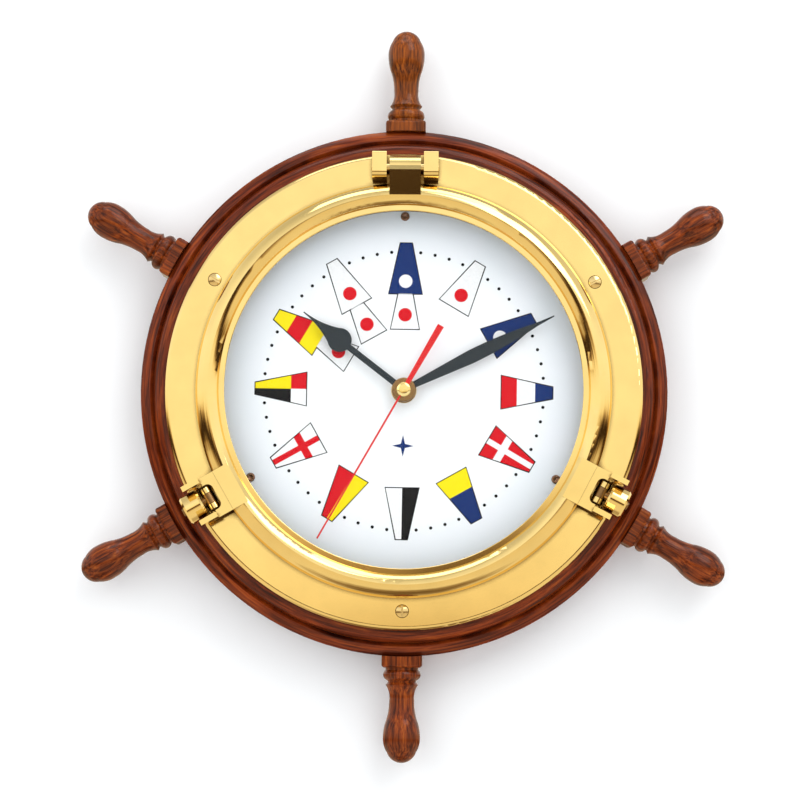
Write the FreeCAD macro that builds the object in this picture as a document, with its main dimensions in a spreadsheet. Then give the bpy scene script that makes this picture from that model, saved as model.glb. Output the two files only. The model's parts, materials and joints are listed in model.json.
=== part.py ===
import FreeCAD, Part
import math
import os
import re

import Sketcher
from FreeCAD import Placement, Rotation, Vector

# A wall clock shaped like a ship's wheel: a turned wooden ring with six handles carries a brass
# porthole, whose glazed bezel swings up on a hinge and is held by two swing bolts (dogs).
#
# Every piece is drawn with the clock lying on its back: x to 3 o'clock, y to 12 o'clock and z
# straight off the wall, from 0 at the wall. UPRIGHT then stands it up, so that +Z is up, the wall
# is the plane y = 0 and the dial faces -Y.

SIZES = {
    # wooden ring
    "wheel_radius": 136, "wheel_thickness": 24, "movement_bore": 42, "rim_back_radius": 131,
    "rim_back_height": 5, "rim_side_height": 19.4, "rim_shoulder_radius": 131, "rim_shoulder_height": 21.4,
    "rim_groove_radius": 129.4, "rim_groove_height": 19.4, "rim_bead_radius": 125.4,
    "rim_round": 7, "rim_bead_round": 5,
    # handles, measured outwards from the clock's axis along each handle
    "handle_height": 12, "tip_radius": 190.5, "grip_radius": 9.5, "grip_at": 177.2,
    "nose_radius": 7.4, "nose_at": 185.2, "grip_round": 13,
    "waist_radius": 6.4, "waist_at": 158.5, "grip_fall_radius": 7.7, "grip_fall_at": 168,
    "grip_fall_round": 26, "waist_round": 34, "collar_radius": 8.4, "collar_at": 150.6, "collar_round": 11,
    "fillet_radius": 7.2, "fillet_at": 149.2, "fillet_foot": 148.6, "bead_radius": 9.7, "bead_at": 145.2,
    "bead_foot": 143, "bead_round": 3.4, "neck_radius": 8.4, "block_top": 141.7, "block_width": 20.8,
    "block_edge": 1.6, "tenon_radius": 6, "tenon_end": 118, "socket_end": 117.6, "socket_radius": 6.05,
    # flange, hinge ears and dog cheeks
    "flange_radius": 123, "flange_bore": 93.5, "flange_thickness": 4, "flange_round": 2.4,
    "hinge_reach": 114.5, "hinge_height": 34.5, "barrel_radius": 6.1, "ear_outer": 17, "ear_inner": 9.55,
    "ear_back": 122, "ear_round": 3.2, "pin_radius": 2, "pin_bore": 2.05, "pin_half": 17.4, "pin_dome": 0.7,
    "knuckle_half": 7.95, "knuckle_bend": 112, "knuckle_bend_height": 42.8, "knuckle_root": 99.3,
    "knuckle_root_height": 41, "knuckle_foot": 103, "knuckle_foot_height": 31,
    "dog_reach": 113.4, "dog_height": 36.2, "cheek_outer": 5.7, "cheek_inner": 2.9, "cheek_radius": 3.1,
    "dog_pin_radius": 1.2, "dog_pin_bore": 1.25,
    "screw_circle": 113, "screw_hole": 1.9, "screw_sink": 3.5, "screw_sink_depth": 2,
    "screw_shank": 1.8, "screw_head": 3.2, "screw_dome": 0.7, "screw_tip_height": 10,
    "screw_pilot": 1.85, "screw_slot": 0.45, "screw_slot_depth": 0.9,
    # bezel ring, with the step for the glass
    "bezel_radius": 106.5, "bezel_foot_height": 28.6, "bezel_side_height": 33.2, "crown_radius": 99.6,
    "crown_height": 40.5, "crown_round": 8.2, "crown_foot_radius": 95.2, "crown_foot_height": 38.2,
    "crown_inner_round": 6.5, "lip_step": 94.4, "lip_step_height": 36.9, "lip_radius": 91.5,
    "lip_height": 37, "lip_back_height": 36.1, "glass_seat": 95.3, "retainer_seat_height": 33.9,
    "retainer_seat": 97.2, "glass_radius": 95, "glass_back": 34, "glass_front": 36,
    "retainer_inner": 92.2, "retainer_outer": 97.1, "retainer_back": 31.4, "retainer_front": 33.8,
    "gasket_inner": 98.6, "gasket_outer": 103.4, "gasket_back": 28.1, "gasket_groove_top": 30.1,
    # bezel lugs with their U-shaped slots
    "lug_half": 11, "lug_root": 96.8, "lug_root_height": 37.4, "lug_foot": 104.8, "lug_end": 116.8,
    "lug_back_height": 29.4, "lug_slot_half": 6.9, "lug_slot_round": 3, "lug_slot_bottom": 109,
    "nut_seat_edge": 105.2, "arm_inner": 8.3, "arm_end": 122.8,
    # swing bolts and nuts
    "eye_radius": 3, "eye_half": 2.7, "bolt_radius": 2.3, "bolt_end": 128.6, "nut_near": 117.3,
    "nut_far": 127.2, "nut_radius": 8, "nut_bore": 2.35, "nut_edge": 1.1,
    # dial, its screws and the fixing of the movement
    "dial_radius": 93, "dial_back": 24.02, "dial_front": 25.2, "dial_hole": 4.2, "dial_screw_circle": 90.3,
    "dial_screw_head": 2.3, "dial_screw_dome": 0.9, "dial_screw_hole": 1.3, "dial_screw_shank": 1.2,
    "dial_screw_pilot": 1.25, "dial_screw_tip": 14, "washer_radius": 6.5, "washer_front": 25.8,
    "nut_front": 27.6, "centre_nut_radius": 5.6, "tube_radius": 4, "tube_bore": 2.6, "tube_front": 28,
    "tube_back": 21.3, "tube_flange_radius": 6.4, "tube_flange_front": 21.88,
    # hands: lengths are from the clock's axis
    "hour_length": 65.3, "hour_disc_at": 41.8, "hour_disc_radius": 6.2, "hour_taper_round": 45,
    "hour_half_width": 1.6,
    "hour_back": 28.6, "hour_front": 29.1, "hour_hub": 3.9, "hand_tip_half": 0.3,
    "minute_length": 86, "minute_belly_at": 38, "minute_belly_half": 3.5, "minute_half_width": 1.3,
    "minute_needle_at": 76, "minute_needle_half": 0.9, "minute_belly_round": 250, "minute_back": 29.9,
    "minute_front": 30.4, "minute_hub": 3.6, "hand_nut_radius": 6.2, "hand_nut_front": 31.7,
    "hand_nut_round": 0.9, "sweep_length": 88, "sweep_half_width": 0.5, "sweep_back": 31.9,
    "sweep_front": 32.3, "sweep_cap": 3.8, "sweep_cap_front": 33.3, "sweep_tail": 38,
    "sweep_tail_root": 1.25, "sweep_tail_end": 1.75,
    # movement case: a square box, open at its back, with a bay for the cell along its foot
    "case_half": 28, "case_front": 23.2, "case_back": 7.2, "case_wall": 1.3, "case_corner": 4,
    "bay_top": -12.35, "room_foot": -11.3, "cover_thickness": 1.2, "rubber_radius": 12,
    "rubber_front": 23.98, "rubber_back": 23.22, "cell_radius": 7.1, "cell_back": -24.9, "cell_front": 24,
    "cell_button_radius": 2.7, "cell_button": 1.1, "cell_row": -19.55, "cell_height": 14.6,
    "contact_half": 4, "contact_thickness": 0.4,
    # gear train: axis distances and teeth; a module follows from a distance and a pair of counts
    "arbor_radius": 0.5, "pivot_bore": 0.55, "third_distance": 10.2, "motion_distance": 10.2,
    "intermediate_distance": 9.6, "rotor_distance": 8.75, "gear_thickness": 0.9,
    "first_layer": 9.6, "layer_step": 2.1, "gear_plate_front": 15.8, "gear_plate_thickness": 0.8,
    "stator_back": 12.6, "stator_thickness": 0.6, "magnet_radius": 3, "stator_bore": 3.5,
    "knob_radius": 5, "knob_back": 3.4, "knob_front": 5.6,
    "stator_left": -15, "stator_width": 30.2, "stator_foot": 14.4, "stator_top": 22.8, "stator_leg": 2.2,
    "lobe_width": 9, "lobe_foot": 8, "winding_start": -11, "winding_length": 20, "winding_radius": 3.2,
    "coil_cheek": 0.8, "coil_cheek_radius": 3.5, "board_side": 10, "board_thickness": 0.8,
    "board_left": -25.5, "board_foot": 15, "board_back": 9,
    "hub_radius": 1, "slim_hub_radius": 0.8, "third_hub_bore": 1.2, "magnet_gap": 0.6,
    "cover_pivot_depth": 0.8, "plate_pivot_depth": 0.2, "wall_pivot_depth": 0.6, "arbor_recess": 0.1,
    "gear_plate_width": 40, "gear_plate_height": 26, "gear_plate_foot": -9.5,
    "knob_neck": 2, "knob_grip": 0.5, "knob_pivot": 0.6,
    "hour_pipe": 2.5, "hour_pipe_bore": 1.8, "minute_pipe": 1.75, "minute_pipe_bore": 0.6,
    "second_arbor": 0.55,
    # keyhole plate in the back of the ring
    "keyhole_row": 90.5, "keyhole_rise": 9, "keyhole_entry": 4.6, "keyhole_slot": 2.3,
    "keyhole_half_width": 9, "keyhole_low": 78, "keyhole_high": 112, "keyhole_thickness": 1.6,
    "keyhole_pocket_margin": 1.2, "keyhole_pocket_depth": 11,
    "hanger_screw_low": 82, "hanger_screw_high": 108, "hanger_screw_radius": 1.4,
    "hanger_screw_head": 2.7, "hanger_screw_depth": 13,
}

HANDLE_HOURS = (12, 2, 4, 6, 8, 10)
FLANGE_SCREW_HOURS = (2, 6, 10)
DIAL_SCREW_HOURS = (12, 4, 8)
DOG_ANGLES = {"left": 240.0, "right": 117.5}
HOUR_HAND_ANGLE = 307.6
MINUTE_HAND_ANGLE = 63.4
SWEEP_HAND_ANGLE = 209.7
THIRD_ANGLE = -60.0
MOTION_ANGLE = 105.0
INTERMEDIATE_ANGLE = 15.0
ROTOR_ANGLE = 70.0

# teeth of the driving and the driven gear of each pair
ROTOR_TEETH = (10, 60)
INTERMEDIATE_TEETH = (10, 50)
SECOND_TEETH = (8, 64)
THIRD_TEETH = (8, 60)
MINUTE_TEETH = (12, 36)
MOTION_TEETH = (10, 40)
KNOB_GRIPS = 18

UPRIGHT = Placement(Vector(), Rotation(Vector(1, 0, 0), 90))
WORD = re.compile(r"[a-z][a-z_]*")

doc = FreeCAD.newDocument("ShipsWheelClock")
sheet = doc.addObject("Spreadsheet::Sheet", "Sizes")
for row, (alias, size) in enumerate(SIZES.items(), start=1):
    sheet.set(f"A{row}", alias)
    sheet.set(f"B{row}", str(size))
    sheet.setAlias(f"B{row}", alias)
doc.recompute()

pieces = []


# ---------------------------------------------------------------- sizes, placements and outlines

def bound(formula):
    """Point each size named in a formula at its cell in the sheet."""
    return WORD.sub(lambda word: f"Sizes.{word[0]}" if word[0] in SIZES else word[0], str(formula))


def value(formula):
    """The value of a formula of sizes."""
    answer = sheet.evalExpression(bound(formula))
    return float(getattr(answer, "Value", answer))


def turned(angle):
    """A turn about the clock's axis, clockwise for someone who faces the dial."""
    return Placement(Vector(), Rotation(Vector(0, 0, 1), -angle))


def at_hour(hour):
    return turned(30 * hour)


def base_plane(body, role):
    return next(feature for feature in body.Origin.OriginFeatures if feature.Role == role)


def new_body(label, angle=0):
    """An empty body whose 12 o'clock is turned to the given angle."""
    body = doc.addObject("PartDesign::Body", label)
    body.Label = label
    body.Placement = UPRIGHT * turned(angle)
    return body


def new_sketch(body, role, offset="0", angle=0):
    """A sketch on an origin plane, moved along its normal, on a body turned about its own z axis."""
    sketch = body.newObject("Sketcher::SketchObject", "Outline")
    sketch.AttachmentSupport = (base_plane(body, role), "")
    sketch.MapMode = "FlatFace"
    upright_axis = Vector(0, 0, 1) if role == "XY_Plane" else Vector(0, 1, 0)
    sketch.AttachmentOffset = Placement(Vector(), Rotation(upright_axis, -angle))
    sketch.setExpression("AttachmentOffset.Base.z", bound(offset))
    return sketch


def pin_point(sketch, edge, end, point):
    """Hold one end of an edge at a point given by two formulas."""
    for kind, formula in zip(("DistanceX", "DistanceY"), point):
        index = sketch.addConstraint(Sketcher.Constraint(kind, edge, end, value(formula)))
        sketch.setExpression(f"Constraints[{index}]", bound(formula))


def arc_between(start, finish, radius):
    """The short arc from start to finish; a negative radius turns it clockwise."""
    chord = finish - start
    rise = math.sqrt(max(radius ** 2 - chord.Length ** 2 / 4, 0))
    side = Vector(-chord.y, chord.x, 0).normalize() * math.copysign(rise, radius)
    centre = (start + finish) / 2 + side
    first, last = (start, finish) if radius > 0 else (finish, start)
    angles = [math.atan2(point.y - centre.y, point.x - centre.x) for point in (first, last)]
    return Part.ArcOfCircle(Part.Circle(centre, Vector(0, 0, 1), abs(radius)), *angles)


def outline(sketch, points):
    """Close an outline through points, each a pair of formulas.

    A third formula bends the edge that arrives at the point to that radius: positive turns
    anticlockwise and negative clockwise.
    """
    spots = [Vector(value(point[0]), value(point[1]), 0) for point in points]
    ends = []
    for index, point in enumerate(points):
        start, finish = spots[index - 1], spots[index]
        if len(point) == 3:
            radius = value(point[2])
            edge = sketch.addGeometry(arc_between(start, finish, radius))
            bend = sketch.addConstraint(Sketcher.Constraint("Radius", edge, abs(radius)))
            sketch.setExpression(f"Constraints[{bend}]", bound(f"abs({point[2]})"))
            ends.append((edge, 1, 2) if radius > 0 else (edge, 2, 1))
        else:
            ends.append((sketch.addGeometry(Part.LineSegment(start, finish)), 1, 2))
    for index, (edge, _, finish) in enumerate(ends):
        next_edge, next_start, _ = ends[(index + 1) % len(ends)]
        sketch.addConstraint(Sketcher.Constraint("Coincident", edge, finish, next_edge, next_start))
    for index, (edge, _, finish) in enumerate(ends):
        pin_point(sketch, edge, finish, points[index][:2])


def circle(sketch, radius, centre=("0", "0")):
    spot = Vector(value(centre[0]), value(centre[1]), 0)
    edge = sketch.addGeometry(Part.Circle(spot, Vector(0, 0, 1), value(radius)))
    pin_point(sketch, edge, 3, centre)
    index = sketch.addConstraint(Sketcher.Constraint("Radius", edge, value(radius)))
    sketch.setExpression(f"Constraints[{index}]", bound(radius))


def dome(radius, rise):
    """The radius of a round cap that rises over a disc and whose centre is on the disc's axis."""
    return f"(({radius})^2 + ({rise})^2) / (2 * ({rise}))"


# ---------------------------------------------------------------- features

def feature(body, kind, sketch, adds):
    """A feature made from a sketch, which must make the body larger or smaller as stated."""
    before = body.Shape.Volume if body.Tip and not body.Shape.isNull() else 0
    made = body.newObject(f"PartDesign::{kind}", kind)
    made.Profile = sketch
    yield made
    doc.recompute()
    change = body.Shape.Volume - before
    if (change > 0) != adds or abs(change) < 1e-6:
        raise RuntimeError(f"{kind} in {body.Label} changes the volume by {change:.4f}")


def extrude(body, sketch, length, adds=True, both_ways=False, reverse=False):
    for made in feature(body, "Pad" if adds else "Pocket", sketch, adds):
        made.setExpression("Length", bound(length))
        made.SideType = "Symmetric" if both_ways else "One side"
        made.Reversed = reverse
    return made


def lathe(body, points, adds=True, role="XZ_Plane", offset="0", shift="0", angle=0):
    """Turn an outline of (radius, height) points about the sketch's upright axis."""
    sketch = new_sketch(body, role, offset, angle)
    if shift != "0":
        sketch.setExpression("AttachmentOffset.Base.x", bound(shift))
    outline(sketch, points)
    for made in feature(body, "Revolution" if adds else "Groove", sketch, adds):
        made.ReferenceAxis = (sketch, ["V_Axis"])
        made.Angle = 360
    return made


def repeat_around(body, original, count):
    pattern = body.newObject("PartDesign::PolarPattern", "Around")
    pattern.Originals = [original]
    pattern.Axis = (base_plane(body, "Z_Axis"), [""])
    pattern.Angle = 360
    pattern.Occurrences = count
    body.Tip = pattern
    doc.recompute()


def round_edges(body, kind, size, wanted):
    """Round or bevel the edges whose middle satisfies a test."""
    doc.recompute()
    tip = body.Tip
    names = []
    for index, edge in enumerate(tip.Shape.Edges, start=1):
        middle = edge.valueAt((edge.FirstParameter + edge.LastParameter) / 2)
        if wanted(edge, middle):
            names.append(f"Edge{index}")
    dressed = body.newObject(f"PartDesign::{kind}", kind)
    dressed.Base = (tip, names)
    dressed.setExpression("Radius" if kind == "Fillet" else "Size", bound(size))
    doc.recompute()


def keep(*bodies):
    pieces.extend(bodies)


def group(label, body, placements):
    """Separate copies of one fastener."""
    doc.recompute()
    copies = []
    for placement in placements:
        copy = body.Shape.copy()
        copy.Placement = UPRIGHT * placement
        copies.append(copy)
    made = doc.addObject("Part::Feature", label)
    made.Label = label
    made.Shape = Part.makeCompound(copies)
    keep(made)


# ---------------------------------------------------------------- wooden wheel

def wheel_ring():
    ring = new_body("wheel_ring")
    lathe(ring, [
        ("movement_bore", "0"),
        ("rim_back_radius", "0"),
        ("wheel_radius", "rim_back_height", "rim_round"),
        ("wheel_radius", "rim_side_height"),
        ("rim_shoulder_radius", "rim_shoulder_height", "rim_round + 1"),
        ("rim_groove_radius", "rim_groove_height"),
        ("rim_bead_radius", "wheel_thickness", "rim_bead_round"),
        ("movement_bore", "wheel_thickness"),
    ])
    socket = new_sketch(ring, "XZ_Plane", "-socket_end")
    circle(socket, "socket_radius", ("0", "handle_height"))
    bored = extrude(ring, socket, "wheel_radius - socket_end + 2", adds=False)
    repeat_around(ring, bored, len(HANDLE_HOURS))
    for radius, depth, circle_radius, hours in (
        ("screw_pilot", "wheel_thickness - screw_tip_height + 1", "screw_circle", FLANGE_SCREW_HOURS),
        ("dial_screw_pilot", "wheel_thickness - dial_screw_tip + 1", "dial_screw_circle", DIAL_SCREW_HOURS),
    ):
        pilot = new_sketch(ring, "XY_Plane", "wheel_thickness", 30 * hours[0])
        circle(pilot, radius, ("0", circle_radius))
        drilled = extrude(ring, pilot, depth, adds=False)
        repeat_around(ring, drilled, len(hours))
    recess = new_sketch(ring, "XY_Plane")
    rectangle(recess, "keyhole_half_width + 0.1", "keyhole_low - 0.1", "keyhole_high + 0.1")
    extrude(ring, recess, "keyhole_thickness", adds=False, reverse=True)
    pocket = new_sketch(ring, "XY_Plane")
    margin = "keyhole_entry + keyhole_pocket_margin"
    rectangle(pocket, margin, f"keyhole_row - {margin}", f"keyhole_row + keyhole_rise + {margin}")
    extrude(ring, pocket, "keyhole_pocket_depth", adds=False, reverse=True)
    for reach in ("hanger_screw_low", "hanger_screw_high"):
        pilot = new_sketch(ring, "XY_Plane")
        circle(pilot, "hanger_screw_radius + 0.05", ("0", reach))
        extrude(ring, pilot, "hanger_screw_depth + 1", adds=False, reverse=True)
    return ring


def rectangle(sketch, half_width, low, high):
    outline(sketch, [
        (f"-({half_width})", low), (half_width, low), (half_width, high), (f"-({half_width})", high),
    ])


def handle(number, hour):
    """A handle drawn at 12 o'clock: a turned grip, a square block and a tenon for the ring."""
    body = new_body(f"handle_{number}", 30 * hour)
    block = new_sketch(body, "XZ_Plane", "-block_top")
    outline(block, [
        ("-block_width / 2", "handle_height - block_width / 2"),
        ("block_width / 2", "handle_height - block_width / 2"),
        ("block_width / 2", "handle_height + block_width / 2"),
        ("-block_width / 2", "handle_height + block_width / 2"),
    ])
    extrude(body, block, "block_top - wheel_radius + 2")
    round_edges(body, "Fillet", "block_edge", lambda edge, middle: middle.y > value("wheel_radius"))
    seat = new_sketch(body, "XY_Plane")
    circle(seat, "wheel_radius + 0.02")
    extrude(body, seat, "3 * wheel_thickness", adds=False, both_ways=True)
    turning = new_sketch(body, "XY_Plane", "handle_height")
    outline(turning, [
        ("0", "block_top - 1"),
        ("neck_radius", "block_top - 1"),
        ("neck_radius", "bead_foot"),
        ("bead_radius", "bead_at", "bead_round"),
        ("fillet_radius + 0.8", "fillet_foot - 0.4", "bead_round"),
        ("fillet_radius", "fillet_foot"),
        ("fillet_radius", "fillet_at"),
        ("collar_radius", "collar_at"),
        ("waist_radius", "waist_at", "-collar_round"),
        ("grip_fall_radius", "grip_fall_at", "-waist_round"),
        ("grip_radius", "grip_at", "grip_fall_round"),
        ("nose_radius", "nose_at", "grip_round"),
        ("0", "tip_radius", dome("nose_radius", "tip_radius - nose_at")),
    ])
    for made in feature(body, "Revolution", turning, adds=True):
        made.ReferenceAxis = (turning, ["V_Axis"])
        made.Angle = 360
    tenon = new_sketch(body, "XZ_Plane", "-tenon_end")
    circle(tenon, "tenon_radius", ("0", "handle_height"))
    extrude(body, tenon, "block_top - tenon_end - 1", reverse=True)
    return body


# ---------------------------------------------------------------- porthole: flange and bezel

def side_profile(body, angle, points):
    """A sketch of (reach, height) points in the upright plane through the given clock angle."""
    sketch = new_sketch(body, "YZ_Plane", "0", angle)
    outline(sketch, points)
    return sketch


def flange():
    ring = new_body("flange")
    lathe(ring, [
        ("flange_bore", "wheel_thickness"),
        ("flange_radius", "wheel_thickness"),
        ("flange_radius", "wheel_thickness + flange_thickness - flange_round"),
        ("flange_radius - flange_round", "wheel_thickness + flange_thickness", "flange_round"),
        ("flange_bore", "wheel_thickness + flange_thickness"),
    ])
    face = "wheel_thickness + flange_thickness"
    ear = side_profile(ring, 0, [
        ("hinge_reach - barrel_radius", f"{face} - 1"),
        ("ear_back", f"{face} - 1"),
        ("ear_back", "hinge_height + barrel_radius - 1"),
        ("ear_back - 1", "hinge_height + barrel_radius", "1"),
        ("hinge_reach - barrel_radius + ear_round", "hinge_height + barrel_radius"),
        ("hinge_reach - barrel_radius", "hinge_height + barrel_radius - ear_round", "ear_round"),
    ])
    extrude(ring, ear, "2 * ear_outer", both_ways=True)
    gap = side_profile(ring, 0, [
        ("hinge_reach - 2 * barrel_radius", face),
        ("ear_back + 2", face),
        ("ear_back + 2", "hinge_height + 2 * barrel_radius"),
        ("hinge_reach - 2 * barrel_radius", "hinge_height + 2 * barrel_radius"),
    ])
    extrude(ring, gap, "2 * ear_inner", adds=False, both_ways=True)
    bore = new_sketch(ring, "YZ_Plane")
    circle(bore, "pin_bore", ("hinge_reach", "hinge_height"))
    extrude(ring, bore, "2 * ear_outer + 2", adds=False, both_ways=True)
    for angle in DOG_ANGLES.values():
        cheek = side_profile(ring, angle, [
            ("dog_reach - cheek_radius", f"{face} - 1"),
            ("dog_reach + cheek_radius", f"{face} - 1"),
            ("dog_reach + cheek_radius", "dog_height"),
            ("dog_reach", "dog_height + cheek_radius", "cheek_radius"),
            ("dog_reach - cheek_radius", "dog_height", "cheek_radius"),
        ])
        extrude(ring, cheek, "2 * cheek_outer", both_ways=True)
        slot = side_profile(ring, angle, [
            ("dog_reach - 2 * cheek_radius", face),
            ("dog_reach + 2 * cheek_radius", face),
            ("dog_reach + 2 * cheek_radius", "dog_height + 2 * cheek_radius"),
            ("dog_reach - 2 * cheek_radius", "dog_height + 2 * cheek_radius"),
        ])
        extrude(ring, slot, "2 * cheek_inner", adds=False, both_ways=True)
        bore = new_sketch(ring, "YZ_Plane", "0", angle)
        circle(bore, "dog_pin_bore", ("dog_reach", "dog_height"))
        extrude(ring, bore, "2 * cheek_outer + 2", adds=False, both_ways=True)
    sink = lathe(ring, [
        ("0", "wheel_thickness - 1"),
        ("screw_hole", "wheel_thickness - 1"),
        ("screw_hole", f"{face} - screw_sink_depth"),
        ("screw_sink", face),
        ("0", face),
    ], adds=False, role="YZ_Plane", shift="-screw_circle")
    repeat_around(ring, sink, len(FLANGE_SCREW_HOURS))
    return ring


def bezel():
    ring = new_body("bezel")
    lathe(ring, [
        ("retainer_seat", "bezel_foot_height"),
        ("gasket_inner", "bezel_foot_height"),
        ("gasket_inner", "gasket_groove_top"),
        ("gasket_outer", "gasket_groove_top"),
        ("gasket_outer", "bezel_foot_height"),
        ("bezel_radius", "bezel_foot_height"),
        ("bezel_radius", "bezel_side_height"),
        ("crown_radius", "crown_height", "crown_round"),
        ("crown_foot_radius", "crown_foot_height", "crown_inner_round"),
        ("lip_step", "lip_step_height"),
        ("lip_radius + 0.4", "lip_height"),
        ("lip_radius", "lip_height - 0.4", "0.4"),
        ("lip_radius", "lip_back_height"),
        ("glass_seat", "lip_back_height"),
        ("glass_seat", "retainer_seat_height"),
        ("retainer_seat", "retainer_seat_height"),
    ])
    arm = side_profile(ring, 0, [
        ("knuckle_foot", "knuckle_foot_height"),
        ("hinge_reach", "hinge_height - barrel_radius"),
        ("hinge_reach + barrel_radius", "hinge_height", "barrel_radius"),
        ("hinge_reach", "hinge_height + barrel_radius", "barrel_radius"),
        ("knuckle_bend", "knuckle_bend_height"),
        ("knuckle_root", "knuckle_root_height"),
        ("knuckle_root", "crown_height - 1"),
    ])
    extrude(ring, arm, "2 * knuckle_half", both_ways=True)
    bore = new_sketch(ring, "YZ_Plane")
    circle(bore, "pin_bore", ("hinge_reach", "hinge_height"))
    extrude(ring, bore, "2 * knuckle_half + 2", adds=False, both_ways=True)
    for angle in DOG_ANGLES.values():
        lug(ring, angle)
    return ring


def lug(ring, angle):
    """A lug on the bezel: slotted for the swing bolt, with two arms beside its nut."""
    block = side_profile(ring, angle, [
        ("lug_root", "lug_root_height"),
        ("lug_foot", "lug_back_height"),
        ("lug_end", "lug_back_height"),
        ("lug_end", "dog_height"),
        ("dog_reach", "dog_height + lug_end - dog_reach", "lug_end - dog_reach"),
        ("nut_seat_edge", "dog_height + lug_end - dog_reach"),
        ("nut_seat_edge", "crown_height"),
        ("lug_root", "crown_height"),
    ])
    extrude(ring, block, "2 * lug_half", both_ways=True)
    slot = new_sketch(ring, "XY_Plane", "crown_height + 2", angle)
    outline(slot, [
        ("-lug_slot_half", "lug_end + 2"),
        ("-lug_slot_half", "lug_slot_bottom + lug_slot_round"),
        ("lug_slot_round - lug_slot_half", "lug_slot_bottom", "lug_slot_round"),
        ("lug_slot_half - lug_slot_round", "lug_slot_bottom"),
        ("lug_slot_half", "lug_slot_bottom + lug_slot_round", "lug_slot_round"),
        ("lug_slot_half", "lug_end + 2"),
    ])
    extrude(ring, slot, "crown_height + 2 - bezel_foot_height", adds=False)
    for side in (-1, 1):
        arm = new_sketch(ring, "XY_Plane", "dog_height + lug_end - dog_reach", angle)
        outline(arm, [
            (f"{side} * arm_inner", "dog_reach"),
            (f"{side} * lug_half", "dog_reach"),
            (f"{side} * lug_half", "arm_end"),
            (f"{side} * arm_inner", "arm_end"),
        ])
        extrude(ring, arm, "dog_height + lug_end - dog_reach - lug_back_height")


def turned_piece(label, points):
    """A piece turned about the clock's axis from (radius, height) points."""
    body = new_body(label)
    lathe(body, points)
    return body


def washer(label, inner, outer, low, high):
    return turned_piece(label, [(inner, low), (outer, low), (outer, high), (inner, high)])


def side_rod(label, angle, reach, height, radius, half_length):
    """A round rod across the clock, centred on the upright plane through the given angle."""
    body = new_body(label, angle)
    section = new_sketch(body, "YZ_Plane")
    circle(section, radius, (reach, height))
    extrude(body, section, f"2 * ({half_length})", both_ways=True)
    return body


def hinge_pin():
    pin = side_rod("hinge_pin", 0, "hinge_reach", "hinge_height", "pin_radius", "pin_half")
    round_edges(pin, "Fillet", "pin_dome", lambda edge, middle: abs(middle.x) > value("ear_outer"))
    return pin


def dog(side, angle):
    """A swing bolt folded outwards, its pivot pin and its round nut."""
    bolt = side_rod(f"{side}_dog_bolt", angle, "dog_reach", "dog_height", "eye_radius", "eye_half")
    shank = new_sketch(bolt, "XZ_Plane", "-bolt_end")
    circle(shank, "bolt_radius", ("0", "dog_height"))
    extrude(bolt, shank, "bolt_end - dog_reach", reverse=False)
    round_edges(bolt, "Chamfer", "0.6", lambda edge, middle: middle.y > value("bolt_end - 0.1"))
    eye = new_sketch(bolt, "YZ_Plane")
    circle(eye, "dog_pin_bore", ("dog_reach", "dog_height"))
    extrude(bolt, eye, "2 * eye_half + 2", adds=False, both_ways=True)
    pin = side_rod(f"{side}_dog_pin", angle, "dog_reach", "dog_height", "dog_pin_radius", "cheek_outer")
    nut = new_body(f"{side}_dog_nut", angle)
    section = new_sketch(nut, "XZ_Plane", "-nut_far")
    circle(section, "nut_radius", ("0", "dog_height"))
    circle(section, "nut_bore", ("0", "dog_height"))
    extrude(nut, section, "nut_far - nut_near")
    wide = value("nut_radius - 0.1")
    round_edges(nut, "Chamfer", "nut_edge", lambda edge, middle: getattr(edge.Curve, "Radius", 0) > wide)
    return bolt, pin, nut


def flange_screws():
    face = "wheel_thickness + flange_thickness"
    screw = new_body("flange_screw")
    lathe(screw, [
        ("0", "screw_tip_height"),
        ("screw_shank", "screw_tip_height + screw_shank"),
        ("screw_shank", f"{face} - screw_sink_depth"),
        ("screw_head", f"{face} - 0.1"),
        ("0", f"{face} + screw_dome", dome("screw_head", "screw_dome + 0.1")),
    ], role="YZ_Plane", shift="screw_circle")
    slot = new_sketch(screw, "XY_Plane", f"{face} + screw_dome")
    rectangle(slot, "screw_slot", "screw_circle - 2 * screw_head", "screw_circle + 2 * screw_head")
    extrude(screw, slot, "screw_slot_depth", adds=False)
    group("flange_screws", screw, map(at_hour, FLANGE_SCREW_HOURS))


def dial_screws():
    screw = new_body("dial_screw")
    lathe(screw, [
        ("0", "dial_screw_tip"),
        ("dial_screw_shank", "dial_screw_tip + dial_screw_shank"),
        ("dial_screw_shank", "dial_front + 0.02"),
        ("dial_screw_head", "dial_front + 0.02"),
        ("0", "dial_front + dial_screw_dome", dome("dial_screw_head", "dial_screw_dome - 0.02")),
    ], role="YZ_Plane", shift="dial_screw_circle")
    group("dial_screws", screw, map(at_hour, DIAL_SCREW_HOURS))


def dial():
    plate = washer("dial", "dial_hole", "dial_radius", "dial_back", "dial_front")
    hole = new_sketch(plate, "XY_Plane", "dial_front", 30 * DIAL_SCREW_HOURS[0])
    circle(hole, "dial_screw_hole", ("0", "dial_screw_circle"))
    drilled = extrude(plate, hole, "2 * (dial_front - dial_back)", adds=False)
    repeat_around(plate, drilled, len(DIAL_SCREW_HOURS))
    return plate


# ---------------------------------------------------------------- hands

def flat_hand(label, angle, back, front, points, hub, bore):
    """A hand cut from sheet, drawn at 12 o'clock, with a round hub."""
    hand = new_body(label, angle)
    blade = new_sketch(hand, "XY_Plane", back)
    outline(blade, points)
    extrude(hand, blade, f"{front} - {back}")
    disc = new_sketch(hand, "XY_Plane", back)
    circle(disc, hub)
    extrude(hand, disc, f"{front} - {back}")
    hole = new_sketch(hand, "XY_Plane", front)
    circle(hole, bore)
    extrude(hand, hole, "2 * tube_front", adds=False, both_ways=True)
    return hand


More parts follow.
